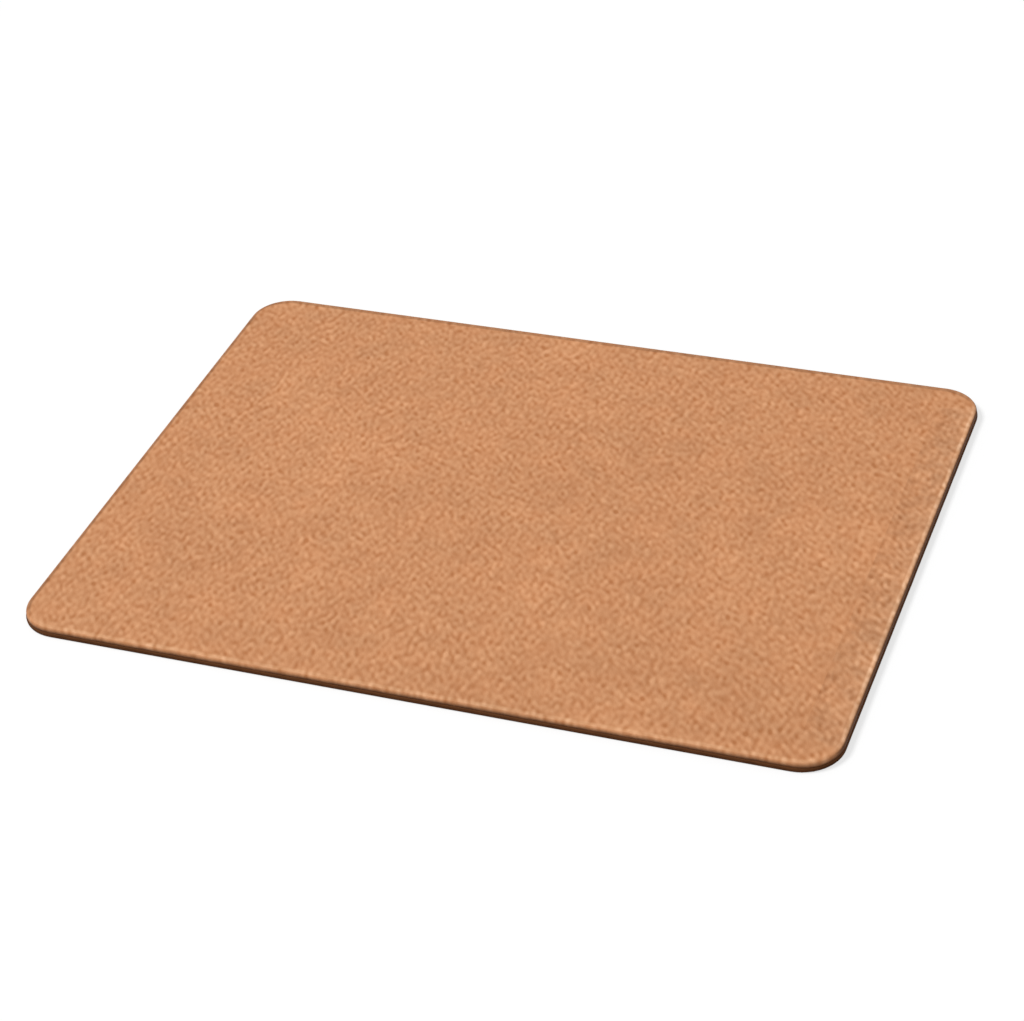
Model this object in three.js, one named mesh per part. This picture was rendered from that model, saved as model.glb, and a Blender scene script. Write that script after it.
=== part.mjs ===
// Leather mouse pad: a flat laminate of leather, glue, core board, glue and rubber,
// cut to a rounded rectangle, with its leather rim eased and its cut edge sealed by a dark coat.
// Millimetres, +Z up. The origin is on the desk, under the middle of the pad.
// +X runs along the long side, and -Y is the side that faces the user.
import * as THREE from "three";

// Overall size, measured over the edge coat
const PAD_WIDTH = 240;
const PAD_DEPTH = 180;
const CORNER_RADIUS = 12;

// Layers, from the desk up
const BASE_THICKNESS = 0.6;
const GLUE_THICKNESS = 0.1;
const CORE_THICKNESS = 0.5;
const LEATHER_THICKNESS = 1.9;

// Leather rim: the upper edge is eased with a quarter round before the edge is coated
const RIM_RADIUS = 1.0;

// Edge coat: a bead of paint that starts a little above the desk and laps onto the leather's cut edge
const COAT_BULGE = 0.25;
const COAT_FOOT_HEIGHT = 0.1;
const COAT_LAP = 0.2;

// How finely the round stretches are divided
const CORNER_STEPS = 16;
const RIM_STEPS = 8;
const BEAD_STEPS = 10;

// Sizes that follow from those above
const CUT_WIDTH = PAD_WIDTH - 2 * COAT_BULGE;
const CUT_DEPTH = PAD_DEPTH - 2 * COAT_BULGE;
const CUT_CORNER_RADIUS = CORNER_RADIUS - COAT_BULGE;
const RIM_ROUND = Math.min(RIM_RADIUS, LEATHER_THICKNESS - COAT_LAP);
const QUARTER_TURN = Math.PI / 2;

function finish(color, roughness) {
  return new THREE.MeshStandardMaterial({ color, roughness, metalness: 0 });
}

const tanLeather = finish("#cd9268", 0.6);
const darkEdgePaint = finish("#5a3b26", 0.4);
const fibreBoard = finish("#8d6a49", 0.9);
const clearGlue = finish("#d8cdb4", 0.5);
const brownRubber = finish("#4b3527", 0.85);

// The cut outline, moved outwards by `grow`, as points that run anticlockwise from the front edge.
// Every outline has the same number of points, so outlines can be joined point to point.
function outline(grow) {
  const radius = CUT_CORNER_RADIUS + grow;
  const reachX = CUT_WIDTH / 2 - CUT_CORNER_RADIUS;
  const reachY = CUT_DEPTH / 2 - CUT_CORNER_RADIUS;
  const corners = [
    [reachX, -reachY],
    [reachX, reachY],
    [-reachX, reachY],
    [-reachX, -reachY],
  ];
  return corners.flatMap(([x, y], corner) => {
    const start = (corner - 1) * QUARTER_TURN;
    const arc = new THREE.EllipseCurve(x, y, radius, radius, start, start + QUARTER_TURN);
    return arc.getPoints(CORNER_STEPS);
  });
}

// A skin through rings of { grow, z }, from the lowest to the highest.
// A slab is closed by a flat face at each end. A loop runs from its last ring back to its first.
function skin(rings, isLoop) {
  const outlines = rings.map(({ grow }) => outline(grow));
  const count = outlines[0].length;
  const points = rings.flatMap(({ z }, ring) => outlines[ring].flatMap(({ x, y }) => [x, y, z]));
  const faces = [];
  const bands = isLoop ? rings.length : rings.length - 1;
  for (let band = 0; band < bands; band += 1) {
    const lower = band * count;
    const upper = ((band + 1) % rings.length) * count;
    for (let i = 0; i < count; i += 1) {
      const next = (i + 1) % count;
      faces.push(lower + i, lower + next, upper + next, lower + i, upper + next, upper + i);
    }
  }
  if (!isLoop) {
    const top = (rings.length - 1) * count;
    const bottomFace = THREE.ShapeUtils.triangulateShape(outlines[0], []);
    const topFace = THREE.ShapeUtils.triangulateShape(outlines[rings.length - 1], []);
    bottomFace.forEach(([a, b, c]) => faces.push(a, c, b));
    topFace.forEach(([a, b, c]) => faces.push(top + a, top + b, top + c));
  }
  const geometry = new THREE.BufferGeometry();
  geometry.setAttribute("position", new THREE.Float32BufferAttribute(points, 3));
  geometry.setIndex(faces);
  geometry.computeVertexNormals();
  return geometry;
}

// A layer with square-cut edges
function flatSheet(thickness) {
  const rings = [
    { grow: 0, z: 0 },
    { grow: 0, z: thickness },
  ];
  return skin(rings, false);
}

// The leather: square-cut below, with a quarter round on its upper edge
function leatherSheet() {
  const rings = [{ grow: 0, z: 0 }];
  for (let step = 0; step <= RIM_STEPS; step += 1) {
    const angle = (step / RIM_STEPS) * QUARTER_TURN;
    rings.push({
      grow: RIM_ROUND * (Math.cos(angle) - 1),
      z: LEATHER_THICKNESS + RIM_ROUND * (Math.sin(angle) - 1),
    });
  }
  return skin(rings, false);
}

// The edge coat: a half-oval bead whose flat back lies on the cut edges of the layers
function edgeBead(height) {
  const rings = [];
  for (let step = 0; step <= BEAD_STEPS; step += 1) {
    const angle = (step / BEAD_STEPS) * Math.PI - QUARTER_TURN;
    rings.push({
      grow: COAT_BULGE * Math.cos(angle),
      z: (height / 2) * (1 + Math.sin(angle)),
    });
  }
  return skin(rings, true);
}

function piece(name, geometry, material, height) {
  const mesh = new THREE.Mesh(geometry, material);
  mesh.name = name;
  mesh.position.z = height;
  return mesh;
}

// Each layer lies flat on the one below it
function laminate() {
  const layers = [
    ["rubber_base", flatSheet(BASE_THICKNESS), brownRubber, BASE_THICKNESS],
    ["lower_glue_film", flatSheet(GLUE_THICKNESS), clearGlue, GLUE_THICKNESS],
    ["core_board", flatSheet(CORE_THICKNESS), fibreBoard, CORE_THICKNESS],
    ["upper_glue_film", flatSheet(GLUE_THICKNESS), clearGlue, GLUE_THICKNESS],
    ["leather_top", leatherSheet(), tanLeather, LEATHER_THICKNESS],
  ];
  const stack = new THREE.Group();
  let height = 0;
  for (const [name, geometry, material, thickness] of layers) {
    stack.add(piece(name, geometry, material, height));
    height += thickness;
  }
  return { stack, height };
}

const { stack, height: padHeight } = laminate();
const leatherHeight = padHeight - LEATHER_THICKNESS;
const coat = edgeBead(leatherHeight + COAT_LAP - COAT_FOOT_HEIGHT);

const mousePad = new THREE.Group();
mousePad.add(stack);
mousePad.add(piece("edge_coat", coat, darkEdgePaint, COAT_FOOT_HEIGHT));

export default mousePad;
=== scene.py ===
# %% [markdown]
# A leather mouse pad
#
# The real object is a thin laminate. A sheet of tan grained leather is glued to a stiff core, the core is
# glued to a sheet of rubber, and dark paint seals the cut edge all the way round.
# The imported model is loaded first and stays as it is. The outline, the layers and the edge are measured
# on it, so the pieces made here fall into place with no fitting. One unit is one metre.

# %% Load the frame
import itertools
import math

import bmesh
import bpy
from mathutils import Color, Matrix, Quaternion, Vector
from mathutils.geometry import delaunay_2d_cdt


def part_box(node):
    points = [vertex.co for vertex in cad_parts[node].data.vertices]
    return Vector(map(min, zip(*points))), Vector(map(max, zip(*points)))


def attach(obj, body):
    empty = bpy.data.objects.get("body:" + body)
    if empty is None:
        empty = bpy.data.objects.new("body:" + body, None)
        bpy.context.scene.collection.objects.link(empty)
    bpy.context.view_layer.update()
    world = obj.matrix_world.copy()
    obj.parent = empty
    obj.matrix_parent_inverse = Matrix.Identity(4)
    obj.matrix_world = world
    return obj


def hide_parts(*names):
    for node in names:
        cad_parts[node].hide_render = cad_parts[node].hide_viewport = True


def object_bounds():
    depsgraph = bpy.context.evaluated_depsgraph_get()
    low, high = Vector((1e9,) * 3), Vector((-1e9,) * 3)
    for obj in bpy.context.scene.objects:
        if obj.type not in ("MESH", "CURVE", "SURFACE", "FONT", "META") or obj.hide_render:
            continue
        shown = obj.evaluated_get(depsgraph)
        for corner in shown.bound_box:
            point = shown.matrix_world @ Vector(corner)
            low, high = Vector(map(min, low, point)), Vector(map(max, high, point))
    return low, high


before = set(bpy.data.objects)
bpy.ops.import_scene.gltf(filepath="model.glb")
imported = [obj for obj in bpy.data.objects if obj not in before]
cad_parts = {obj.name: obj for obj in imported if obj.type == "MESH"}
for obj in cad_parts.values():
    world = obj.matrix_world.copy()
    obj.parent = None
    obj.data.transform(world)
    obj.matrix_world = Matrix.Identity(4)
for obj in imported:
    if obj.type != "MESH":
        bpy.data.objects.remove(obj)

MM = 0.001


def sides_in_mm(low, high):
    """The three sides of a box, in millimetres."""
    return [round(side / MM, 2) for side in high - low]


cad_low, cad_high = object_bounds()
print("CAD box in mm:", sides_in_mm(cad_low, cad_high))

# %% [markdown]
# The outline
#
# The pad is a rounded rectangle. Its layers, its rim and its edge paint all follow the same four corner
# centres, each at its own distance from them, so one distance is enough to name an outline.
# The corner radius isn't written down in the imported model, but it can be measured there. On the front
# edge, the straight run ends where the corner begins.

# %% Measure the outline
TOUCH = 0.001 * MM
# The corners in turn, anticlockwise from the front right, as the signs of x and y
CORNER_SIGNS = ((1, -1), (1, 1), (-1, 1), (-1, -1))


def furthest_x(node, axis, level):
    """The largest x among the points of a CAD node that lie at a level of one axis."""
    spots = [point.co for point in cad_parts[node].data.vertices]
    return max(spot.x for spot in spots if abs(getattr(spot, axis) - level) < TOUCH)


leather_low, leather_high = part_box("leather_top")
coat_low, coat_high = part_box("edge_coat")
base_low, base_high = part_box("rubber_base")

cut_radius = base_high.x - furthest_x("rubber_base", "y", base_low.y)
rim_radius = leather_high.x - furthest_x("leather_top", "z", leather_high.z)
flat_radius = cut_radius - rim_radius
coat_bulge = coat_high.x - leather_high.x
centre_x = base_high.x - cut_radius
centre_y = base_high.y - cut_radius
corner_centres = [Vector((x * centre_x, y * centre_y)) for x, y in CORNER_SIGNS]
print(f"corner {cut_radius / MM:.2f} mm, rim {rim_radius / MM:.2f} mm, bulge {coat_bulge / MM:.2f} mm")

# %% [markdown]
# Following the outline
#
# A ring of points round the pad is four quarter turns, joined by four straight runs. A bevelled rectangle
# would have the same outline, but with its points only where the bevel puts them. Written out, the ring
# has points as close together as each piece needs.

# %% Helpers that follow the outline
QUARTER_TURN = math.pi / 2


def on_circle(centre, radius, angle):
    """The point of a circle at an angle."""
    return centre + radius * Vector((math.cos(angle), math.sin(angle)))


def outline(radius, step):
    """Points about a step apart, anticlockwise round the pad, at a distance from the corner centres."""
    points = []
    bends = math.ceil(radius * QUARTER_TURN / step)
    for turn, centre in enumerate(corner_centres):
        angles = [(turn - 1 + bend / bends) * QUARTER_TURN for bend in range(bends)]
        points += [on_circle(centre, radius, angle) for angle in angles]
        start = on_circle(centre, radius, turn * QUARTER_TURN)
        run = corner_centres[(turn + 1) % len(corner_centres)] - centre
        strides = math.ceil(run.length / step)
        points += [start + run * (stride / strides) for stride in range(strides)]
    return points


def ring_edges(points):
    """The edges that join points in turn, and the last one to the first."""
    return [(spot, (spot + 1) % len(points)) for spot in range(len(points))]


def past_centres(point):
    """How far a point lies outside the box of the four corner centres, as a vector that points out."""
    x = max(abs(point.x) - centre_x, 0)
    y = max(abs(point.y) - centre_y, 0)
    return Vector((math.copysign(x, point.x), math.copysign(y, point.y), 0))


# %% [markdown]
# The camera
#
# The view is the photograph's. A camera set by eye would be several pixels off at the corners. These
# angles and this long lens come from laying the outline of a rounded slab over the edges of the pad in
# the picture, until the two agree to about a third of a pixel.
# The camera stands a little to the right, looks down at about 36 degrees and is rolled by almost 5
# degrees.

# %% Set the camera
IMAGE_WIDTH = 1024
FOCAL_PIXELS = 2816.7
SENSOR_WIDTH = 36.0
VIEW_AZIMUTH = math.radians(22.834)
VIEW_ELEVATION = math.radians(35.868)
VIEW_ROLL = math.radians(4.96)
VIEW_DISTANCE = 829.7 * MM
VIEW_TARGET = Vector((-1.28, 0.28, 0)) * MM
CAMERA_AXIS = (0, 0, 1)

sideways = math.cos(VIEW_ELEVATION)
back = Vector((
    math.sin(VIEW_AZIMUTH) * sideways,
    -math.cos(VIEW_AZIMUTH) * sideways,
    math.sin(VIEW_ELEVATION),
))
camera = bpy.data.objects.new("camera", bpy.data.cameras.new("camera"))
camera.data.sensor_width = SENSOR_WIDTH
camera.data.lens = FOCAL_PIXELS * SENSOR_WIDTH / IMAGE_WIDTH
camera.location = VIEW_TARGET + back * VIEW_DISTANCE
camera.rotation_mode = "QUATERNION"
upright = (-back).to_track_quat("-Z", "Y")
camera.rotation_quaternion = upright @ Quaternion(CAMERA_AXIS, -VIEW_ROLL)
bpy.context.scene.collection.objects.link(camera)
bpy.context.scene.camera = camera
print(f"camera lens {camera.data.lens:.1f} mm")


# %% [markdown]
# Helpers for node trees
#
# Both finishes and shapes are made with nodes here. They could be laid out by hand in the node editor,
# but a script can be read from top to bottom and run again. A small helper adds a node, sets its options
# and fills its inputs from plain values or from the outputs of other nodes, which keeps each tree short.
# Many nodes are the same in a material and in a geometry tree, so these helpers serve both.

# %% Helpers for nodes
def add(tree, kind, inputs=None, **options):
    """Add a node, set its options, and fill its inputs with values or with links."""
    made = tree.nodes.new(kind)
    for name, value in options.items():
        setattr(made, name, value)
    for key, value in (inputs or {}).items():
        if isinstance(value, bpy.types.NodeSocket):
            tree.links.new(value, made.inputs[key])
        else:
            made.inputs[key].default_value = value
    return made


def math_of(tree, operation, first, *others):
    """The result of one operation on two numbers, or on more of them in turn."""
    for other in others:
        first = add(tree, "ShaderNodeMath", {0: first, 1: other}, operation=operation).outputs[0]
    return first


def vector_of(tree, operation, first, second=(0, 0, 0)):
    """The result of one operation on two vectors."""
    return add(tree, "ShaderNodeVectorMath", {0: first, 1: second}, operation=operation).outputs[0]


def scaled(tree, vector, amount):
    """A vector made longer or shorter."""
    inputs = {0: vector, "Scale": amount}
    return add(tree, "ShaderNodeVectorMath", inputs, operation="SCALE").outputs[0]


def length_of(tree, vector):
    """The length of a vector."""
    return add(tree, "ShaderNodeVectorMath", {0: vector}, operation="LENGTH").outputs["Value"]


def remap(tree, value, from_low, from_high, to_low=0.0, to_high=1.0, shape="SMOOTHSTEP"):
    """A value moved from one range to another, and held at the ends."""
    inputs = {"Value": value, "From Min": from_low, "From Max": from_high}
    inputs |= {"To Min": to_low, "To Max": to_high}
    return add(tree, "ShaderNodeMapRange", inputs, interpolation_type=shape).outputs["Result"]


# %% [markdown]
# Nodes that follow the outline
#
# Paint, painted highlight and shade, and relief all depend on how near a place is to the edge, and on the
# way that the edge faces there. An attribute painted on the mesh could say so, but only as finely as the
# mesh. Nodes can work both out anywhere, from the same corner centres as above.

# %% Helpers for nodes that follow the outline
def outside(tree, place):
    """How far a place on the pad lies outside the box of the four corner centres, along each axis."""
    box = (centre_x, centre_y, cad_high.z)
    past = vector_of(tree, "SUBTRACT", vector_of(tree, "ABSOLUTE", place), box)
    return vector_of(tree, "MAXIMUM", past)


def reach(tree, place):
    """How far a place lies outside the box of the four corner centres, as one distance."""
    return length_of(tree, outside(tree, place))


def facing(tree, place):
    """Which way the edge of the pad faces beside a place, as the parts of a vector one long."""
    signed = vector_of(tree, "MULTIPLY", outside(tree, place), vector_of(tree, "SIGN", place))
    return add(tree, "ShaderNodeSeparateXYZ", {0: vector_of(tree, "NORMALIZE", signed)}).outputs


# %% [markdown]
# Helpers for geometry trees
#
# A geometry tree takes a simple mesh and named sizes, and gives back the finished shape with its
# material. Modelled by hand, a shape would have to be made again whenever a size changes.
# The result is kept as a plain mesh, and the modifier that made it is removed.

# %% Start, end and run a geometry tree
def new_tree(name, inputs):
    """A geometry tree with named inputs, and the sockets that they come in by."""
    tree = bpy.data.node_groups.new(name, "GeometryNodeTree")
    face = tree.interface
    face.new_socket("Geometry", in_out="INPUT", socket_type="NodeSocketGeometry")
    for label, kind in inputs.items():
        face.new_socket(label, in_out="INPUT", socket_type=f"NodeSocket{kind}")
    face.new_socket("Geometry", in_out="OUTPUT", socket_type="NodeSocketGeometry")
    return tree, tree.nodes.new("NodeGroupInput").outputs


def end_tree(tree, geometry, finish):
    """Close a tree: smooth faces, no instances left, and one material."""
    smooth = add(tree, "GeometryNodeSetShadeSmooth", {"Geometry": geometry})
    real = add(tree, "GeometryNodeRealizeInstances", {"Geometry": smooth.outputs[0]})
    dressed = add(tree, "GeometryNodeSetMaterial", {"Geometry": real.outputs[0], "Material": finish})
    add(tree, "NodeGroupOutput", {"Geometry": dressed.outputs[0]})


def sink(tree, geometry, depth):
    """Move every point of a mesh inwards, against its normal."""
    normal = add(tree, "GeometryNodeInputNormal").outputs[0]
    inwards = scaled(tree, normal, math_of(tree, "MULTIPLY", depth, -1.0))
    return add(tree, "GeometryNodeSetPosition", {"Geometry": geometry, "Offset": inwards}).outputs[0]


def run_tree(tree, mesh, values):
    """The plain mesh that a geometry tree makes of another one."""
    source = bpy.data.objects.new("source", mesh)
    bpy.context.scene.collection.objects.link(source)
    modifier = source.modifiers.new("tree", "NODES")
    modifier.node_group = tree
    for item in tree.interface.items_tree:
        if item.in_out == "INPUT" and item.name in values:
            modifier[item.identifier] = values[item.name]
    graph = bpy.context.evaluated_depsgraph_get()
    made = bpy.data.meshes.new_from_object(source.evaluated_get(graph))
    source.modifiers.clear()
    bpy.data.objects.remove(source)
    return made


# %% [markdown]
# A field inside an outline
#
# The leather and the rubber both start as a flat field of points in a triangle lattice. A grid cut off at
# the outline would leave slivers along it. A constrained triangulation joins the lattice to the outline
# instead, and lattice points too near to the outline are left out.

# %% A flat field of triangles
INSIDE_ONLY = 1
LATTICE_MARGIN = 0.6


def field(radius, level, faces_up, pitch):
    """A flat triangle mesh inside an outline, with lattice points a pitch apart."""
    ring = outline(radius, pitch)
    row_height = pitch * math.sqrt(3) / 2
    rows = math.ceil((centre_y + radius) / row_height)
    columns = math.ceil((centre_x + radius) / pitch)
    lattice = []
    for row, column in itertools.product(range(-rows, rows + 1), range(-columns, columns + 1)):
        half_step = (row % 2) / 2
        spot = Vector(((column + half_step) * pitch, row * row_height))
        if past_centres(spot).length < radius - LATTICE_MARGIN * pitch:
            lattice.append(spot)
    points, _, faces, *_ = delaunay_2d_cdt(ring + lattice, ring_edges(ring), [], INSIDE_ONLY, TOUCH)
    turned = faces if faces_up else [face[::-1] for face in faces]
    mesh = bpy.data.meshes.new("field")
    mesh.from_pydata([(point.x, point.y, level) for point in points], [], turned)
    return mesh


# %% [markdown]
# From a field to a closed sheet
#
# A field is only one face of a sheet. A Solidify modifier would give it a thickness, but no rim. So its
# open edge is carried outwards along a short profile, which for the leather is the quarter round of the
# rim, then along the cut wall to the far side, where one flat face closes it.
# On the way, each point notes how far the profile has run. That distance unrolls the wall into the plane
# for the UV map, where the far side is laid beside it at a smaller scale.

# %% Close a field into a sheet
MAP_MARGIN = 0.01
MAP_MIDDLE = 0.5
MAP_FAR_SCALE = 0.3


def quarter_round(radius, low, high, steps):
    """Profile points of a rim that curves from a flat face at one height towards another."""
    turn = math.copysign(radius, low - high)
    angles = [QUARTER_TURN * step / steps for step in range(steps + 1)]
    return [(radius * math.sin(angle), high + turn * (1 - math.cos(angle))) for angle in angles]


def lay_map(body, unrolled, far_face):
    """A UV map seen from above, with the wall unrolled round it and the far face beside it."""
    layer = body.loops.layers.uv.new("OFBake")
    spread = {}
    for vert in body.verts:
        outwards = past_centres(vert.co).normalized().xy
        spread[vert] = vert.co.xy + outwards * vert[unrolled]
    half_width = max(spot.x for spot in spread.values())
    half_depth = max(spot.y for spot in spread.values())
    scale = (1 - 2 * MAP_MARGIN) / (2 * half_width)
    middle = Vector((MAP_MIDDLE, MAP_MARGIN + half_depth * scale))
    far_middle = Vector((MAP_MIDDLE, 1 - MAP_MARGIN - half_depth * scale * MAP_FAR_SCALE))
    for face in body.faces:
        for corner in face.loops:
            if face == far_face:
                corner[layer].uv = far_middle + corner.vert.co.xy * scale * MAP_FAR_SCALE
            else:
                corner[layer].uv = middle + spread[corner.vert] * scale


def close_sheet(mesh, profile):
    """Carry the open edge of a field along a profile of (reach, height) pairs, then close the far side."""
    body = bmesh.new()
    body.from_mesh(mesh)
    unrolled = body.verts.layers.float.new("unrolled")
    run = 0.0
    for (reach_from, height_from), (reach_to, height_to) in itertools.pairwise(profile):
        open_edge = [edge for edge in body.edges if edge.is_boundary]
        bmesh.ops.extrude_edge_only(body, edges=open_edge)
        outwards = reach_to - reach_from
        run += math.hypot(outwards, height_to - height_from)
        for vert in {vert for edge in body.edges if edge.is_boundary for vert in edge.verts}:
            vert.co += past_centres(vert.co).normalized() * outwards
            vert.co.z = height_to
            vert[unrolled] = run - reach_to
    far_edge = [edge for edge in body.edges if edge.is_boundary]
    far_face = bmesh.ops.edgeloop_fill(body, edges=far_edge)["faces"]
    bmesh.ops.recalc_face_normals(body, faces=body.faces)
    lay_map(body, unrolled, far_face[0])
    for face in body.faces:
        face.smooth = True
    body.to_mesh(mesh)
    body.free()


# %% [markdown]
# The grain of the hide
#
# This leather has a fine grain: short, soft ridges a few millimetres apart. A tanner raises such a grain
# by folding the damp hide and rolling the fold along it, first one way and then the other, so its ridges
# cross. Cloud noise would mix bumps of many sizes. Gabor noise keeps nearly all of them at one width, and
# can favour one direction, so one layer of it stands for each way of rolling.
# The grain is drawn out along the hide, and the pad was cut from the hide at a slant.
# The same nodes serve twice, in the tree that shapes the sheet and in the finish that colours it, so the
# places that are darker are the places that are lower.

# %% The height of the grain
RIDGE_SPACING = 2.4 * MM
RIDGES_PER_PATCH = 1.0
HIDE_STRETCH = 1.7
HIDE_TURN = math.radians(22)
ROLLED_WAYS = (math.radians(-50), math.radians(42))
ROLLED_SHARE = 0.7
GRAIN_LOW = 0.27
GRAIN_HIGH = 0.73


def hide_grain(tree, place):
    """The height of the grain at a place on the hide, from 0 in the valleys to 1 on the ridges."""
    inputs = {"Vector": place, "Angle": -HIDE_TURN}
    turned = add(tree, "ShaderNodeVectorRotate", inputs, rotation_type="Z_AXIS").outputs[0]
    drawn = vector_of(tree, "MULTIPLY", turned, (1, 1 / HIDE_STRETCH, 1))
    patch = RIDGE_SPACING * RIDGES_PER_PATCH
    waves = []
    for layer, way in enumerate(ROLLED_WAYS):
        apart = vector_of(tree, "ADD", drawn, (layer, 0, 0))
        inputs = {"Vector": apart, "Scale": 1 / patch, "Frequency": RIDGES_PER_PATCH}
        inputs |= {"Anisotropy": ROLLED_SHARE, "Orientation": way}
        waves.append(add(tree, "ShaderNodeTexGabor", inputs, gabor_type="2D").outputs["Value"])
    crossed = math_of(tree, "MULTIPLY", math_of(tree, "ADD", *waves), 1 / len(ROLLED_WAYS))
    return remap(tree, crossed, GRAIN_LOW, GRAIN_HIGH, shape="LINEAR")


# %% [markdown]
# Pressing the grain in
#
# The ridges catch the light, so they are real relief and not only colour. A Displace modifier would need
# its own copy of the pattern. A geometry tree can use the grain's own nodes.
# The relief runs out over the rim and fades there, because the cut wall is pared and rubbed smooth.

# %% Geometry nodes for the leather face
def leather_tree():
    """The tree that presses the grain into a closed sheet."""
    tree, given = new_tree("Leather grain", {
        "Relief": "Float",
        "Pared Radius": "Float",
        "Finish": "Material",
    })
    place = add(tree, "GeometryNodeInputPosition").outputs[0]
    valley = math_of(tree, "SUBTRACT", 1.0, hide_grain(tree, place))
    fade = remap(tree, reach(tree, place), cut_radius, given["Pared Radius"])
    depth = math_of(tree, "MULTIPLY", valley, fade, given["Relief"])
    end_tree(tree, sink(tree, given["Geometry"], depth), given["Finish"])
    return tree


# %% [markdown]
# Helpers for finishes
#
# A finish is a tree of nodes that ends in one shader. A picture of leather wrapped round the piece would
# repeat, and blur close up. Noise in real sizes does neither, and makes the blotches, fibres and pores.
# Noise seldom strays far from its middle, so blotches are drawn out to run from one value to another.
# Most layers of noise are shifted, so that no two line up. Colours are written as they are read off a
# screen.

# %% Helpers for finishes
SCREEN_WHITE = 255
CLOUD_MIDDLE = 0.5
CLOUD_SPREAD = 0.2
# The sockets of a mix node go by number, because several of them share a name
MIX_AMOUNT = 0
MIX_FIRST = 6
MIX_SECOND = 7
MIX_RESULT = 2


def new_finish(name, specular):
    """A material, its tree and its shader, with how strongly it reflects all over."""
    made = bpy.data.materials.new(name)
    made.use_nodes = True
    shader = made.node_tree.nodes["Principled BSDF"]
    shader.inputs["Specular IOR Level"].default_value = specular
    return made, made.node_tree, shader


def dress(tree, shader, paint, roughness, relief):
    """Link the colour, the roughness and the relief of a finish to its shader."""
    tree.links.new(paint, shader.inputs["Base Color"])
    tree.links.new(roughness, shader.inputs["Roughness"])
    tree.links.new(relief, shader.inputs["Normal"])


def object_place(tree):
    """Where a point of the surface lies on the pad."""
    return add(tree, "ShaderNodeTexCoord").outputs["Object"]


def object_height(tree):
    """How high a point of the surface lies above the desk."""
    return add(tree, "ShaderNodeSeparateXYZ", {0: object_place(tree)}).outputs["Z"]


def clouds(tree, size, detail=2.0, shift=0.0, stretch=(1, 1, 1)):
    """Soft noise from 0 to 1 with blotches about a size across, taken from a shifted place."""
    inputs = {"Vector": object_place(tree), "Location": (shift, shift, shift), "Scale": stretch}
    moved = add(tree, "ShaderNodeMapping", inputs).outputs[0]
    inputs = {"Vector": moved, "Scale": 1 / size, "Detail": detail}
    return add(tree, "ShaderNodeTexNoise", inputs).outputs["Fac"]


def drawn_out(tree, noise, low, high, middle=CLOUD_MIDDLE, spread=CLOUD_SPREAD, shape="SMOOTHSTEP"):
    """Noise drawn out round its middle, to run from one value to another."""
    return remap(tree, noise, middle - spread, middle + spread, low, high, shape)


def blotches(tree, size, low=0.0, high=1.0, detail=2.0, shift=0.0, **drawing):
    """Clouds drawn out to run from one value to another."""
    return drawn_out(tree, clouds(tree, size, detail, shift), low, high, **drawing)


def mix_colours(tree, amount, first, second, blend="MIX"):
    """Two colours mixed by an amount."""
    inputs = {MIX_AMOUNT: amount, MIX_FIRST: first, MIX_SECOND: second}
    return add(tree, "ShaderNodeMix", inputs, data_type="RGBA", blend_type=blend).outputs[MIX_RESULT]


def bump(tree, height, distance, under=None):
    """A bump of a real height in metres, over another one if there is one."""
    inputs = {"Height": height, "Distance": distance}
    if under is not None:
        inputs["Normal"] = under
    return add(tree, "ShaderNodeBump", inputs).outputs[0]


def colour(red, green, blue):
    """A colour as it is read off a screen, from 0 to 255, in the linear form that shaders take."""
    shares = Color((red / SCREEN_WHITE, green / SCREEN_WHITE, blue / SCREEN_WHITE))
    return (*shares.from_srgb_to_scene_linear(), 1.0)


# %% [markdown]
# The colour of the hide
#
# Dye gathers in the valleys of the grain and wears off the ridges, so the tan runs from a browner to a
# paler shade with the height of the grain. One plain tan would look like card.
# Layers of slow clouds make the hide a little deeper or paler, each taken from a place in the noise where
# its blotches fall about as they do on this hide. Another layer makes it redder in places.
# Fine creases hold a little more dye. They are the borders in a net of cells, swayed so that none is
# straight.

# %% Colour the hide
VALLEY_TAN = colour(178, 117, 74)
RIDGE_TAN = colour(215, 159, 117)
REDDER = (1.0, 0.97, 0.95, 1.0)
DYE_LAYERS = (
    {"size": 45 * MM, "strength": 0.03, "shift": 29.5},
    {"size": 22 * MM, "strength": 0.04, "shift": 23.0},
    {"size": 9 * MM, "strength": 0.06, "shift": 37.0},
)
CREASE_SPACING = 1.1 * MM
CREASE_WIDTH = 0.25
CREASE_SWAYS = 1.5
CREASE_SHIFT = (0.3, 0.3, 0.3)
CREASE_DYE = 0.06


def creases(tree):
    """A net of fine lines, from 0 on the lines to 1 between them."""
    place = object_place(tree)
    inputs = {"Vector": place, "Scale": CREASE_SWAYS / CREASE_SPACING}
    sway = add(tree, "ShaderNodeTexNoise", inputs).outputs["Color"]
    swayed = vector_of(tree, "ADD", place, scaled(tree, sway, CREASE_SPACING))
    inputs = {"Vector": vector_of(tree, "ADD", swayed, CREASE_SHIFT), "Scale": 1 / CREASE_SPACING}
    net = add(tree, "ShaderNodeTexVoronoi", inputs, feature="DISTANCE_TO_EDGE").outputs["Distance"]
    return remap(tree, net, 0.0, CREASE_WIDTH)


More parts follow.
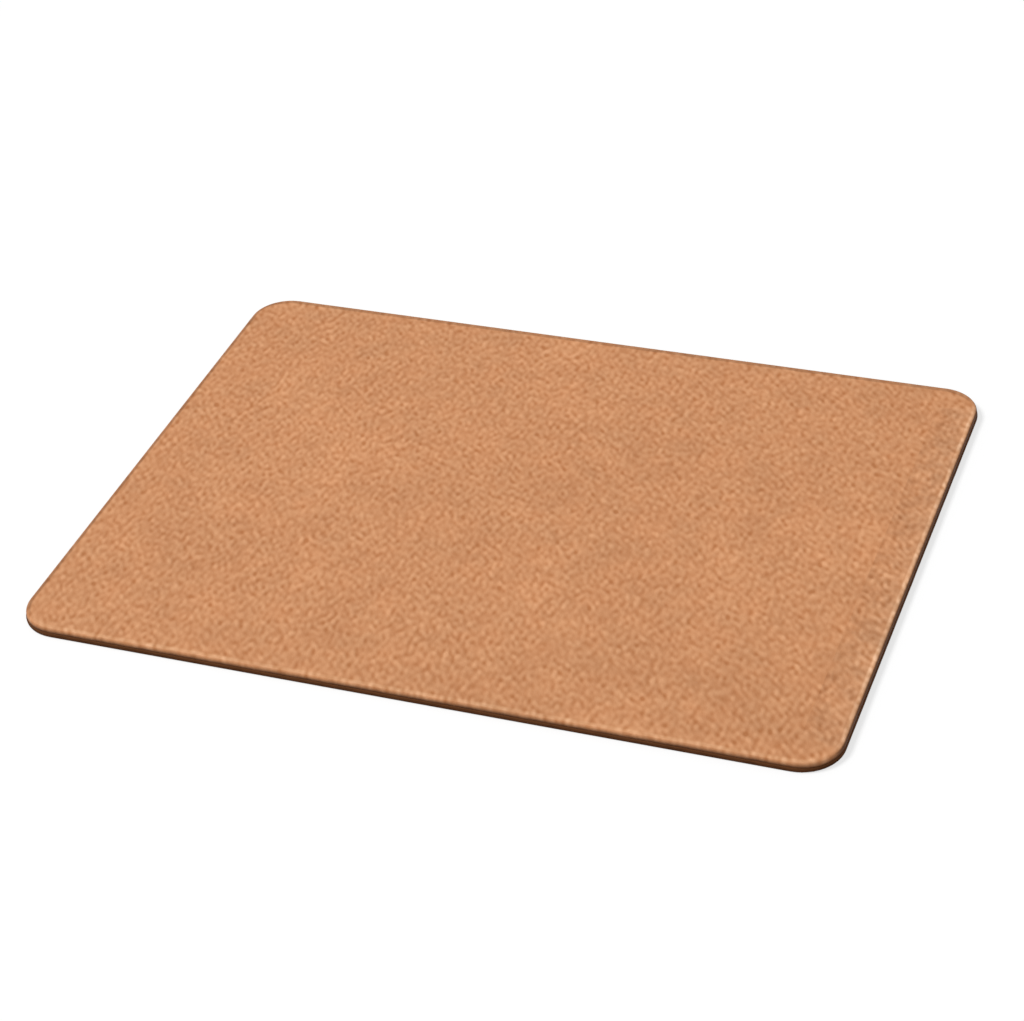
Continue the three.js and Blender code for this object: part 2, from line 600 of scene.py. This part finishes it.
def hide_colour(tree, grain, lines):
    """The tan of the hide, from its grain, its clouds of dye and its creases."""
    hide = mix_colours(tree, grain, VALLEY_TAN, RIDGE_TAN)
    for layer in DYE_LAYERS:
        noise = clouds(tree, layer["size"], shift=layer["shift"])
        deeper = 1 - layer["strength"]
        paler = 1 + layer["strength"]
        dye = drawn_out(tree, noise, deeper, paler, spread=0.25, shape="LINEAR")
        hide = mix_colours(tree, 1.0, hide, dye, blend="MULTIPLY")
    red = blotches(tree, 8 * MM, detail=3.0, shift=15.0, spread=0.15)
    hide = mix_colours(tree, red, hide, REDDER, blend="MULTIPLY")
    creased = remap(tree, lines, 0.0, 1.0, to_low=CREASE_DYE, to_high=0.0)
    return mix_colours(tree, creased, hide, VALLEY_TAN)


# %% [markdown]
# Four sides and a rim
#
# The rim isn't the same all round. Its dye, painted highlight and painted shade could be painted on by
# hand, but two measures are enough to place them: the way that the edge faces, and how far across the rim a
# place lies.
# The first is a part of a vector one long, so 1 is an edge that faces a side squarely, and 0.7 is the
# middle of a corner. The second is counted in rim radii, from 0 where the flat face ends to 1 at the cut
# wall.

# %% Where a place lies on the rim
# Where each side of the pad begins, and where it is in full
RIGHT_SIDE = (0.87, 1.0)
FRONT_SIDE = (-0.7, -1.0)
BACK_SIDE = (0.5, 0.95)
FAR_SIDE = (0.4, -0.4)
FAR_SLANT = 0.7


def edge_sides(tree):
    """How far the edge beside a place belongs to each side, where far is the back and the left."""
    faces = facing(tree, object_place(tree))
    slanted = math_of(tree, "SUBTRACT", math_of(tree, "MULTIPLY", faces["X"], FAR_SLANT), faces["Y"])
    return {
        "right": remap(tree, faces["X"], *RIGHT_SIDE),
        "front": remap(tree, faces["Y"], *FRONT_SIDE),
        "back": remap(tree, faces["Y"], *BACK_SIDE),
        "far": remap(tree, slanted, *FAR_SIDE),
    }


def across_rim(tree, out, start, end, most=1.0):
    """A value that grows from 0 to its most between two places across the rim."""
    return remap(tree, out, flat_radius + start * rim_radius, flat_radius + end * rim_radius, 0.0, most)


# %% [markdown]
# Painted highlight on the rim
#
# At the front and on the right the crest of the rim gets a painted highlight, paler than the hide, but
# hardly any round the corners. On the right, the strip of leather beside the rim gets painted light too.
# Painted light lightens what is there, so it multiplies the colour of the hide and doesn't cover it.

# %% Paint a highlight on the rim
# Tints of the painted highlight on the crest at the front and on the right, and of the painted light on the
# strip beside the right rim
HIGHLIGHT_TINT_FRONT = (1.13, 1.25, 1.36, 1.0)
HIGHLIGHT_TINT_RIGHT = (1.4, 1.72, 2.1, 1.0)
LIT_STRIP_FULL_AT = 0.7
LIT_STRIP_MOST = 0.15


def rim_painted_highlight(tree, sides, out, patchy):
    """How much painted highlight the rim gets: most on its crest, and a little on a strip beside it on the
    right.
    """
    # Painted highlight along the crest of the rim, at the front and on the right
    onset = across_rim(tree, out, start=-1.0, end=-0.1)
    ending = across_rim(tree, out, start=0.75, end=0.4)
    highlighted_sides = math_of(tree, "MAXIMUM", sides["front"], sides["right"])
    crest = math_of(tree, "MULTIPLY", onset, ending, patchy, highlighted_sides)
    # Painted light on a strip beside the rim on the right
    beside = remap(tree, out, 0.0, LIT_STRIP_FULL_AT * cut_radius, to_low=0.0, to_high=LIT_STRIP_MOST)
    strip = math_of(tree, "MULTIPLY", sides["right"], beside)
    return math_of(tree, "MAXIMUM", crest, strip)


# %% [markdown]
# Dye and painted shade on the edge
#
# The edge was dyed brown and burnished before it was painted, by hand, so the brown reaches higher in
# some places than in others. At the back and on the left the same brown is painted over the rim as shade,
# and on the right painted shade darkens the outer part of the rim and lifts the burnish line.
# A band at one height would look printed, so the line wanders.

# %% Dye and burnish the edge, and paint shade on the rim
# The brown of the edge dye, which also colours the painted shade on the rim
EDGE_DYE_AND_SHADE = colour(90, 55, 32)
# How far the painted shade reaches in over the rim at the back, in rim radii
BACK_SHADE_REACH = 0.8
# How dark the painted shade gets over the rim at the back and left, and on the outer rim on the right
FAR_SHADE_MOST = 0.55
FAR_SHADE_MOST_AT_BACK = 0.42
RIGHT_SHADE_MOST = 0.85
# How far below the face the burnish starts, in rim radii, and how far above the paint it is full
BURNISH_DROP = 0.25
BURNISH_FULL = 0.15 * MM
BURNISH_WANDER = 0.15 * MM
# How much higher the burnish line is raised on the right, as painted shade
SHADE_RISE_ON_RIGHT = 0.3 * MM


def rim_painted_shade(tree, hide, sides, out, patchy):
    """The hide with painted shade in the brown of the edge, over its rim at the back and on the left, and
    on the outer part of the rim on the right.
    """
    shade_reach = math_of(tree, "ADD", out, math_of(tree, "MULTIPLY", sides["back"], BACK_SHADE_REACH * rim_radius))
    most = remap(tree, sides["back"], 0.0, 1.0, FAR_SHADE_MOST, FAR_SHADE_MOST_AT_BACK)
    # Painted shade over the rim at the back and on the left
    far_rim_shade = across_rim(tree, shade_reach, start=-0.8, end=-0.1, most=most)
    hide = mix_colours(tree, math_of(tree, "MULTIPLY", far_rim_shade, sides["far"], patchy), hide, EDGE_DYE_AND_SHADE)
    # Painted shade on the outer part of the rim on the right
    right_rim_shade = across_rim(tree, shade_reach, start=0.6, end=0.9, most=RIGHT_SHADE_MOST)
    return mix_colours(tree, math_of(tree, "MULTIPLY", right_rim_shade, sides["right"]), hide, EDGE_DYE_AND_SHADE)


def burnished_wall(tree, hide, sides):
    """The hide with its wall burnished brown, up to a line that wanders and is raised on the right as
    painted shade.
    """
    wander = blotches(tree, 5 * MM, -BURNISH_WANDER, BURNISH_WANDER, detail=3.0, shift=7.0, spread=0.25)
    # The line is raised on the right as painted shade
    raised = math_of(tree, "MULTIPLY", sides["right"], SHADE_RISE_ON_RIGHT)
    height = math_of(tree, "ADD", object_height(tree), math_of(tree, "SUBTRACT", wander, raised))
    top = leather_high.z - BURNISH_DROP * rim_radius
    amount = remap(tree, height, top, coat_high.z + BURNISH_FULL, shape="LINEAR")
    return mix_colours(tree, amount, hide, EDGE_DYE_AND_SHADE)


# %% [markdown]
# The tan leather finish
#
# The finish puts these together. The ridges and the band of painted highlight on the rim are smoother than
# the valleys, as polished leather is. Fine creases and pores are much smaller than a ridge, so they are
# bump and not mesh.

# %% Make the leather finish
PORE_SPACING = 0.35 * MM
PORE_DEPTH = 0.015 * MM
CREASE_DEPTH = 0.02 * MM
# How much smoother the leather is where the rim highlight is painted
HIGHLIGHT_SMOOTHER = -0.1


def leather_finish():
    """Tan leather with its grain, its creases, and burnished dye, painted highlight and painted shade on
    its rim.
    """
    finish, tree, shader = new_finish("tan_leather", specular=0.1)
    grain = hide_grain(tree, object_place(tree))
    lines = creases(tree)
    out = reach(tree, object_place(tree))
    sides = edge_sides(tree)
    patchy = blotches(tree, 4 * MM, low=0.7, high=1.0, shift=2.0)

    hide = hide_colour(tree, grain, lines)
    # Painted highlight on the rim, then painted shade over the rim and up the wall
    highlight_amount = rim_painted_highlight(tree, sides, out, patchy)
    # The tint of the painted highlight, paler still on the right
    rubbed = mix_colours(tree, sides["right"], HIGHLIGHT_TINT_FRONT, HIGHLIGHT_TINT_RIGHT)
    hide = mix_colours(tree, highlight_amount, hide, rubbed, blend="MULTIPLY")
    hide = rim_painted_shade(tree, hide, sides, out, patchy)
    hide = burnished_wall(tree, hide, sides)

    uneven = blotches(tree, 5 * MM, low=0.6, high=0.7, shift=5.0)
    drier = remap(tree, grain, 0.0, 1.0, to_low=0.06, to_high=-0.04)
    rough = math_of(tree, "ADD", uneven, drier, math_of(tree, "MULTIPLY", highlight_amount, HIGHLIGHT_SMOOTHER))

    pores = clouds(tree, PORE_SPACING, detail=1.0, shift=13.0)
    relief = bump(tree, pores, PORE_DEPTH, under=bump(tree, lines, CREASE_DEPTH))
    dress(tree, shader, hide, rough, relief)
    return finish


# %% [markdown]
# The leather sheet
#
# The field is fine enough for three points across each ridge. The rim curves down from it to the cut
# wall, and the flesh side closes the sheet. The grain is then pressed into it in geometry nodes.
# The sheet lies flat on the upper glue film, so its flat size is the size that it was cut to.

# %% Make the leather sheet
LATTICE_PITCH = 0.75 * MM
GRAIN_RELIEF = 0.13 * MM
RIM_STEPS = 8
# Where the grain starts to fade, in rim radii
PARED_FROM = 0.2


def place_piece(name, mesh):
    """A finished piece at the origin, unturned and unscaled."""
    made = bpy.data.objects.new(name, mesh)
    bpy.context.scene.collection.objects.link(made)
    return made


def triangles(mesh):
    """How many triangles a mesh comes to."""
    return sum(len(face.vertices) - 2 for face in mesh.polygons)


leather_field = field(flat_radius, leather_high.z, True, LATTICE_PITCH)
rim = quarter_round(rim_radius, leather_low.z, leather_high.z, RIM_STEPS)
close_sheet(leather_field, rim + [(rim_radius, leather_low.z)])
leather_mesh = run_tree(leather_tree(), leather_field, {
    "Relief": GRAIN_RELIEF,
    "Pared Radius": flat_radius + PARED_FROM * rim_radius,
    "Finish": leather_finish(),
})
leather = place_piece("grained_leather", leather_mesh)
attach(leather, "root")
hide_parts("leather_top")
print("leather sheet has", triangles(leather_mesh), "triangles")

# %% [markdown]
# The edge paint
#
# The cut edge of the laminate is sealed with a few coats of thick dark paint. It draws itself into a
# bead, which is fullest half way up and thin where it laps onto the leather above and ends just clear of
# the desk. A bead that follows a path is a curve with a profile. A bevelled curve would do for an even
# one, but geometry nodes can sweep a half oval along the cut outline and then shape it.
# On this path the sweep turns the oval's y axis to point down, so the oval is moved down to lift the
# bead. A brush leaves paint a little uneven, so the bead is thinned here and there, and never thickened.

# %% Geometry nodes for the edge paint
OVAL_POINTS = 13
BRUSH_DETAIL = 2.0


def half_oval(tree, given):
    """Half an oval, as wide as the bulge and as tall as the bead, closed along its flat back."""
    arc = {"Resolution": OVAL_POINTS, "Radius": 1.0, "Start Angle": -QUARTER_TURN, "Sweep Angle": math.pi}
    oval = add(tree, "GeometryNodeCurveArc", arc, mode="RADIUS").outputs[0]
    rise = math_of(tree, "SUBTRACT", given["Top Height"], given["Foot Height"])
    half_rise = math_of(tree, "DIVIDE", rise, 2.0)
    size = add(tree, "ShaderNodeCombineXYZ", {0: given["Bulge"], 1: half_rise, 2: 1.0}).outputs[0]
    middle = math_of(tree, "ADD", given["Foot Height"], half_rise)
    lift = add(tree, "ShaderNodeCombineXYZ", {1: math_of(tree, "MULTIPLY", middle, -1.0)}).outputs[0]
    moved = {"Geometry": oval, "Scale": size, "Translation": lift}
    oval = add(tree, "GeometryNodeTransform", moved).outputs[0]
    return add(tree, "GeometryNodeSetSplineCyclic", {"Geometry": oval, "Cyclic": True}).outputs[0]


def edge_paint_tree():
    """The tree that sweeps a bead of paint along a path and thins it here and there."""
    tree, given = new_tree("Edge paint", {
        "Bulge": "Float",
        "Foot Height": "Float",
        "Top Height": "Float",
        "Brush Length": "Float",
        "Thinning": "Float",
        "Finish": "Material",
    })
    path = add(tree, "GeometryNodeMeshToCurve", {"Mesh": given["Geometry"]}).outputs[0]
    path = add(tree, "GeometryNodeSetCurveNormal", {"Curve": path}, mode="Z_UP").outputs[0]
    swept = {"Curve": path, "Profile Curve": half_oval(tree, given)}
    bead = add(tree, "GeometryNodeCurveToMesh", swept).outputs[0]

    place = add(tree, "GeometryNodeInputPosition").outputs[0]
    proud = math_of(tree, "SUBTRACT", reach(tree, place), cut_radius)
    fullness = math_of(tree, "DIVIDE", proud, given["Bulge"])
    fineness = math_of(tree, "DIVIDE", 1.0, given["Brush Length"])
    brush = {"Vector": place, "Scale": fineness, "Detail": BRUSH_DETAIL}
    strokes = drawn_out(tree, add(tree, "ShaderNodeTexNoise", brush).outputs["Fac"], 0.0, 1.0)
    depth = math_of(tree, "MULTIPLY", strokes, fullness, given["Thinning"])
    end_tree(tree, sink(tree, bead, depth), given["Finish"])
    return tree


# %% [markdown]
# The edge paint finish
#
# Edge paint dries to a satin dark brown. Where the coat is thin, near the leather, the tan shows through
# and warms it. Rubbing leaves the fullest part a little paler and smoother, in patches, and the brush
# leaves fine streaks along the edge. A clear coat over the brown would be too glossy, so one rough layer
# does it all.

# %% Make the edge paint finish
# Where the bead counts as full, as a share of its bulge
FULL_FROM = 0.8
RUBBED_SMOOTHER = -0.15
STREAK_STRETCH = (1, 1, 8)
STREAK_DEPTH = 0.04 * MM
SPECK_DEPTH = 0.01 * MM


def edge_paint_finish():
    """Satin dark brown paint, warmer where it is thin and paler where it is rubbed."""
    finish, tree, shader = new_finish("dark_edge_paint", specular=0.03)
    deep_brown = colour(72, 42, 22)
    warm_brown = colour(84, 50, 28)
    thin_brown = colour(96, 59, 34)
    rubbed_brown = colour(100, 64, 39)
    paint = mix_colours(tree, blotches(tree, 5 * MM, detail=3.0), deep_brown, warm_brown)

    wander = blotches(tree, 3 * MM, low=-0.1 * MM, high=0.1 * MM, shift=4.0)
    height = math_of(tree, "ADD", object_height(tree), wander)
    thin = remap(tree, height, (coat_low.z + coat_high.z) / 2, coat_high.z)
    paint = mix_colours(tree, thin, paint, thin_brown)

    out = reach(tree, object_place(tree))
    full = remap(tree, out, cut_radius + FULL_FROM * coat_bulge, cut_radius + coat_bulge)
    patchy = blotches(tree, 9 * MM, high=0.5, detail=4.0, shift=6.0, middle=0.61, spread=0.09)
    rubbed = math_of(tree, "MULTIPLY", full, patchy)
    paint = mix_colours(tree, rubbed, paint, rubbed_brown)

    uneven = blotches(tree, 2 * MM, low=0.7, high=0.82, shift=8.0)
    rough = math_of(tree, "ADD", uneven, math_of(tree, "MULTIPLY", rubbed, RUBBED_SMOOTHER))

    streaks = clouds(tree, 1.5 * MM, detail=3.0, shift=9.0, stretch=STREAK_STRETCH)
    specks = clouds(tree, 0.2 * MM, detail=1.0, shift=10.0)
    relief = bump(tree, specks, SPECK_DEPTH, under=bump(tree, streaks, STREAK_DEPTH))
    dress(tree, shader, paint, rough, relief)
    return finish


# %% [markdown]
# The edge bead
#
# The path is the cut outline itself, as a ring of points on the desk. The bead's foot, top and bulge are
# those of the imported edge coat, so it fills the same space.

# %% Make the edge bead
PATH_STEP = 1.0 * MM
BRUSH_LENGTH = 7 * MM
THINNING = 0.05 * MM
path_points = outline(cut_radius, PATH_STEP)
path_mesh = bpy.data.meshes.new("path")
path_mesh.from_pydata([(point.x, point.y, 0) for point in path_points], ring_edges(path_points), [])
bead_mesh = run_tree(edge_paint_tree(), path_mesh, {
    "Bulge": coat_bulge,
    "Foot Height": coat_low.z,
    "Top Height": coat_high.z,
    "Brush Length": BRUSH_LENGTH,
    "Thinning": THINNING,
    "Finish": edge_paint_finish(),
})
bead = place_piece("edge_bead", bead_mesh)
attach(bead, "root")
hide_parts("edge_coat")
heights = [vert.co.z / MM for vert in bead_mesh.vertices]
print("edge bead has", triangles(bead_mesh), "triangles")
print(f"edge bead runs from {min(heights):.2f} to {max(heights):.2f} mm above the desk")

# %% [markdown]
# Honeycomb on the rubber
#
# The sheet under the pad is moulded rubber. Such sheets are embossed, here with a honeycomb: flat
# six-sided pads grip the desk, and the grooves between them let air and dust out.
# A displacement map would need a very dense mesh for that. Here the mesh follows the cells. The dual of a
# triangle lattice is a honeycomb, in which every point has become a six-sided cell. Each cell is sunk,
# raised again and drawn in twice, which leaves a sloping side, a rounded shoulder and a flat pad.

# %% Geometry nodes for the honeycomb
SHOULDER_HEIGHT = 0.75


def raise_cells(tree, mesh, height, share, selection=True):
    """Raise each cell by a height along its normal, and draw its top in to a share of its size."""
    inputs = {"Mesh": mesh, "Offset Scale": height, "Individual": True, "Selection": selection}
    raised = add(tree, "GeometryNodeExtrudeMesh", inputs, mode="FACES")
    tops = raised.outputs["Top"]
    inputs = {"Geometry": raised.outputs["Mesh"], "Selection": tops, "Scale": share}
    return add(tree, "GeometryNodeScaleElements", inputs, domain="FACE").outputs[0], tops


def honeycomb_tree():
    """The tree that turns a triangle field into a honeycomb of raised pads, with a plain margin."""
    tree, given = new_tree("Honeycomb", {
        "Outline Radius": "Float",
        "Plain Margin": "Float",
        "Relief": "Float",
        "Shoulder Share": "Float",
        "Pad Share": "Float",
        "Desk Level": "Float",
        "Finish": "Material",
    })
    dual = {"Mesh": given["Geometry"], "Keep Boundaries": True}
    cells = add(tree, "GeometryNodeDualMesh", dual).outputs[0]
    place = add(tree, "GeometryNodeInputPosition").outputs[0]
    inset = math_of(tree, "SUBTRACT", given["Outline Radius"], reach(tree, place))
    fade = remap(tree, inset, 0.0, given["Plain Margin"])
    groove = math_of(tree, "MULTIPLY", given["Relief"], fade)
    side = math_of(tree, "MULTIPLY", groove, SHOULDER_HEIGHT)
    crown = math_of(tree, "MULTIPLY", groove, 1 - SHOULDER_HEIGHT)
    mesh, shoulders = raise_cells(tree, sink(tree, cells, groove), side, given["Shoulder Share"])
    mesh, _ = raise_cells(tree, mesh, crown, given["Pad Share"], shoulders)
    desk = {0: cad_low.x, 1: cad_low.y, 2: given["Desk Level"]}
    lowest = add(tree, "ShaderNodeCombineXYZ", desk).outputs[0]
    kept = vector_of(tree, "MAXIMUM", place, lowest)
    mesh = add(tree, "GeometryNodeSetPosition", {"Geometry": mesh, "Position": kept}).outputs[0]
    end_tree(tree, mesh, given["Finish"])
    return tree


# %% [markdown]
# The rubber finish
#
# The rubber is a matte dark brown. Its pads are a little smoother and greyer where they touch the desk,
# and pale dust settles in the grooves. Fine specks of filler roughen it all over.
# Height alone tells pads from grooves, so the finish needs no mask of its own.

# %% Make the rubber finish
EMBOSS_RELIEF = 0.15 * MM
CONTACT_DEPTH = 0.3 * EMBOSS_RELIEF
DUST_DEPTH = 0.6 * EMBOSS_RELIEF
FILLER_DEPTH = 0.03 * MM
SCUFFED_SMOOTHER = -0.2


def rubber_finish():
    """Matte dark brown rubber, scuffed where it touches the desk and dusty in its grooves."""
    finish, tree, shader = new_finish("brown_rubber", specular=0.3)
    deep_rubber = colour(70, 49, 36)
    pale_rubber = colour(82, 60, 45)
    scuffed_rubber = colour(92, 76, 64)
    dust = colour(150, 132, 114)
    rubber = mix_colours(tree, blotches(tree, 18 * MM, detail=3.0), deep_rubber, pale_rubber)

    height = object_height(tree)
    contact = remap(tree, height, base_low.z + CONTACT_DEPTH, base_low.z)
    patchy = blotches(tree, 12 * MM, high=0.6, detail=3.0, shift=2.0, middle=0.55, spread=0.15)
    scuffed = math_of(tree, "MULTIPLY", contact, patchy)
    rubber = mix_colours(tree, scuffed, rubber, scuffed_rubber)
    deep = remap(tree, height, base_low.z + DUST_DEPTH, base_low.z + EMBOSS_RELIEF)
    settled = blotches(tree, 7 * MM, high=0.35, detail=4.0, shift=3.0, middle=0.625, spread=0.125)
    rubber = mix_colours(tree, math_of(tree, "MULTIPLY", deep, settled), rubber, dust)

    uneven = blotches(tree, 3 * MM, low=0.8, high=0.9, shift=5.0)
    rough = math_of(tree, "ADD", uneven, math_of(tree, "MULTIPLY", scuffed, SCUFFED_SMOOTHER))
    filler = clouds(tree, 0.25 * MM, shift=6.0)
    dress(tree, shader, rubber, rough, bump(tree, filler, FILLER_DEPTH))
    return finish


# %% [markdown]
# The rubber sheet
#
# The field faces down, because the embossed side is the side on the desk. Its edge turns up through a
# very small round, which keeps the foot of the wall from being perfectly sharp, and the wall runs up to
# the glue.

# %% Make the rubber sheet
CELL_PITCH = 3.6 * MM
PLAIN_MARGIN = 1.5 * MM
SHOULDER_SHARE = 0.82
PAD_SHARE = 0.9
FOOT_ROUND = 0.06 * MM
FOOT_STEPS = 3
foot_radius = cut_radius - FOOT_ROUND
rubber_field = field(foot_radius, base_low.z, False, CELL_PITCH)
rubber_mesh = run_tree(honeycomb_tree(), rubber_field, {
    "Outline Radius": foot_radius,
    "Plain Margin": PLAIN_MARGIN,
    "Relief": EMBOSS_RELIEF,
    "Shoulder Share": SHOULDER_SHARE,
    "Pad Share": PAD_SHARE,
    "Desk Level": base_low.z,
    "Finish": rubber_finish(),
})
foot = quarter_round(FOOT_ROUND, base_high.z, base_low.z, FOOT_STEPS)
close_sheet(rubber_mesh, foot + [(FOOT_ROUND, base_high.z)])
rubber = place_piece("rubber_sheet", rubber_mesh)
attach(rubber, "root")
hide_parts("rubber_base")
print("rubber sheet has", triangles(rubber_mesh), "triangles")

# %% [markdown]
# The layers inside
#
# The core board and the two glue films are closed in by the other pieces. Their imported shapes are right
# as they are, so they stay, with finishes of their own for when the pad is taken apart. The board is
# pressed leather fibre, with short pale fibres along and across it. The glue has dried to an amber film,
# a little thicker in some places than in others.

# %% Dress the core board and the glue films
FIBRE_LENGTH = 1.2 * MM
FIBRES_ALONG = (1, 5, 5)
FIBRES_ACROSS = (5, 1, 5)
FIBRE_DEPTH = 0.05 * MM
POOL_DEPTH = 0.03 * MM


def fibre_board_finish():
    """Pressed leather fibre, with fibres that run along and across the board."""
    finish, tree, shader = new_finish("fibre_board", specular=0.2)
    dark_fibre = colour(124, 91, 61)
    pale_fibre = colour(160, 123, 87)
    along = clouds(tree, FIBRE_LENGTH, detail=4.0, shift=1.0, stretch=FIBRES_ALONG)
    across = clouds(tree, FIBRE_LENGTH, detail=4.0, shift=2.0, stretch=FIBRES_ACROSS)
    fibres = math_of(tree, "MAXIMUM", along, across)
    board = mix_colours(tree, remap(tree, fibres, 0.4, 0.75), dark_fibre, pale_fibre)
    rough = remap(tree, fibres, 0.3, 0.8, to_low=0.95, to_high=0.82)
    dress(tree, shader, board, rough, bump(tree, fibres, FIBRE_DEPTH))
    return finish


def glue_finish():
    """Dried glue, more amber where it pooled."""
    finish, tree, shader = new_finish("clear_glue", specular=0.5)
    thin_glue = colour(222, 212, 190)
    thick_glue = colour(205, 186, 146)
    pools = clouds(tree, 8 * MM, detail=4.0)
    film = mix_colours(tree, drawn_out(tree, pools, 0.0, 1.0, spread=0.15), thin_glue, thick_glue)
    rough = drawn_out(tree, pools, low=0.58, high=0.42)
    dress(tree, shader, film, rough, bump(tree, pools, POOL_DEPTH))
    return finish


glue = glue_finish()
inner_finishes = {
    "core_board": fibre_board_finish(),
    "lower_glue_film": glue,
    "upper_glue_film": glue,
}
for node, finish in inner_finishes.items():
    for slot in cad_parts[node].material_slots:
        slot.material = finish
print("finishes for", ", ".join(inner_finishes))

# %% [markdown]
# The floor
#
# The pad lies on a white table. A floor lit like the pad would come out grey, and more light would wash
# the pad out. So to the camera the floor is mostly its own white, with enough real light in it to keep
# the pad's shadow. Further out it turns plain white, so that it meets the world with no horizon.

# %% Make the floor
FLOOR_REACH = 3.0
FLOOR_COLOUR = (0.98, 0.98, 0.98, 1.0)
FLOOR_WHITE = 0.68
SHADED_REACH = 0.25
WHITE = (1.0, 1.0, 1.0, 1.0)


def seen_directly(tree):
    """1 for rays from the camera, and for mirror and glass rays, which show the same white background."""
    path = add(tree, "ShaderNodeLightPath").outputs
    rays = ("Is Camera Ray", "Is Glossy Ray", "Is Transmission Ray")
    return math_of(tree, "MAXIMUM", *[path[ray] for ray in rays])


def floor_finish():
    """A matte white floor that shows no shadow far from the pad."""
    finish = bpy.data.materials.new("white_floor")
    finish.use_nodes = True
    tree = finish.node_tree
    tree.nodes.clear()
    matte = add(tree, "ShaderNodeBsdfDiffuse", {"Color": FLOOR_COLOUR})
    white = add(tree, "ShaderNodeEmission", {"Color": WHITE, "Strength": 1.0})
    away = length_of(tree, object_place(tree))
    whiteness = remap(tree, away, SHADED_REACH, 2 * SHADED_REACH, FLOOR_WHITE, 1.0)
    amount = math_of(tree, "MULTIPLY", seen_directly(tree), whiteness)
    both = add(tree, "ShaderNodeMixShader", {0: amount, 1: matte.outputs[0], 2: white.outputs[0]})
    add(tree, "ShaderNodeOutputMaterial", {"Surface": both.outputs[0]})
    return finish


floor_mesh = bpy.data.meshes.new("floor")
floor_corners = [(x * FLOOR_REACH, y * FLOOR_REACH, 0) for x, y in CORNER_SIGNS]
floor_mesh.from_pydata(floor_corners, [], [range(len(floor_corners))])
floor_mesh.materials.append(floor_finish())
floor = place_piece("floor", floor_mesh)
print("floor reaches", FLOOR_REACH, "m each way")

# %% [markdown]
# World and lamp
#
# The light is soft. One large lamp stands high on the left, so the left is a little brighter than the
# right, and the shadow falls to the right. A sun would light both sides alike.
# The world fills in the rest. To the camera it is plain white, like the far floor.

# %% Set the world and the lamp
AMBIENT = 0.44
KEY_DIRECTION = Vector((-0.75, -0.20, 1.0)).normalized()
KEY_DISTANCE = 6.0
KEY_SIZE = 1.8
KEY_POWER = 294.0

world = bpy.data.worlds.new("studio")
bpy.context.scene.world = world
world.use_nodes = True
sky = world.node_tree
sky.nodes.clear()
strength = remap(sky, seen_directly(sky), 0.0, 1.0, AMBIENT, 1.0)
shell = add(sky, "ShaderNodeBackground", {"Color": WHITE, "Strength": strength})
add(sky, "ShaderNodeOutputWorld", {"Surface": shell.outputs[0]})

key = bpy.data.objects.new("key", bpy.data.lights.new("key", "AREA"))
key.data.shape = "SQUARE"
key.data.size = KEY_SIZE
key.data.energy = KEY_POWER
key.location = KEY_DIRECTION * KEY_DISTANCE
key.rotation_mode = "QUATERNION"
key.rotation_quaternion = KEY_DIRECTION.to_track_quat("Z", "Y")
bpy.context.scene.collection.objects.link(key)
bpy.context.scene.view_settings.view_transform = "Standard"
print("lamp stands at", [round(part, 2) for part in key.location], "m")
